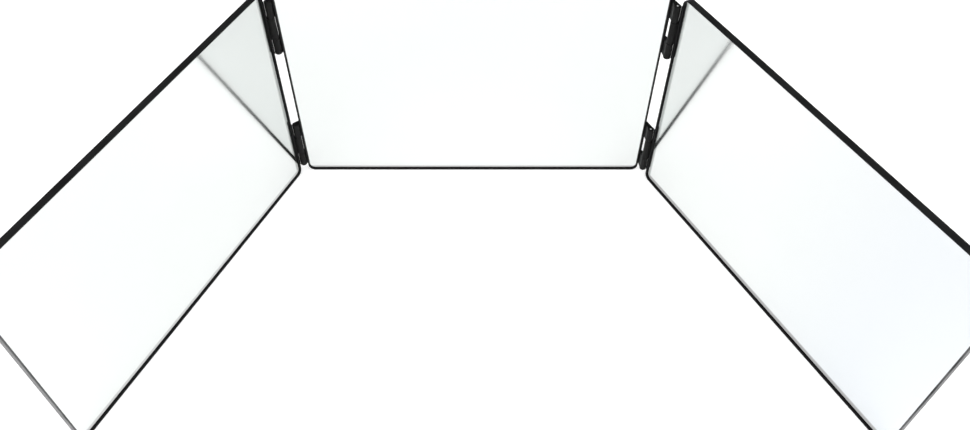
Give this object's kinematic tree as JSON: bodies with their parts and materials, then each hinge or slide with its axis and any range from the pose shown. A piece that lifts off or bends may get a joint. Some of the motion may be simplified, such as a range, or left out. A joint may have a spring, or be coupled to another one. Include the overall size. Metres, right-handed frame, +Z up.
{
  "type": "three-way folding table mirror",
  "caption": "Three landscape mirror panels in thin black frames, hinged side by side, that stand on their lower edges, angle round the user and fold flat.",
  "frame": {"origin": "middle of the centre frame's lower face, halfway through its thickness", "axes": "+Z up; the mirrors face -Y; +X to the right of someone who looks into the mirrors"},
  "size_m": [0.5869, 0.2761, 0.1975],
  "materials": {
    "frame_plastic": "black moulded plastic, satin with a fine texture",
    "cover_plastic": "black moulded plastic, fine leather-grain texture, matt",
    "hinge_plastic": "black moulded plastic, satin",
    "mirror": "silvered float glass, polished",
    "foam": "closed-cell foam sheet, adhesive on both sides",
    "pin_steel": "bright drawn steel",
    "rivet_metal": "dull aluminium"
  },
  "bodies": {
    "centre_panel": {"centre_frame": "frame_plastic", "centre_mirror": "mirror", "centre_pad": "foam", "centre_back_cover": "cover_plastic", "centre_rivets": "rivet_metal", "left_upper_centre_leaf": "hinge_plastic", "left_upper_pin": "pin_steel", "left_lower_centre_leaf": "hinge_plastic", "left_lower_pin": "pin_steel", "right_upper_centre_leaf": "hinge_plastic", "right_upper_pin": "pin_steel", "right_lower_centre_leaf": "hinge_plastic", "right_lower_pin": "pin_steel"},
    "left_panel": {"left_frame": "frame_plastic", "left_mirror": "mirror", "left_pad": "foam", "left_back_cover": "cover_plastic", "left_rivets": "rivet_metal", "left_upper_side_leaf": "hinge_plastic", "left_lower_side_leaf": "hinge_plastic"},
    "right_panel": {"right_frame": "frame_plastic", "right_mirror": "mirror", "right_pad": "foam", "right_back_cover": "cover_plastic", "right_rivets": "rivet_metal", "right_upper_side_leaf": "hinge_plastic", "right_lower_side_leaf": "hinge_plastic"}
  },
  "joints": [
    {"name": "left_fold", "type": "hinge", "parent": "centre_panel", "child": "left_panel", "pos_m": [-0.1534, -0.00295, 0.09875], "axis": [0, 0, 1], "range_deg": [-64.7, 115.3]},
    {"name": "right_fold", "type": "hinge", "parent": "centre_panel", "child": "right_panel", "pos_m": [0.1534, -0.00855, 0.09875], "axis": [0, 0, -1], "range_deg": [-61.7, 118.3]}
  ]
}
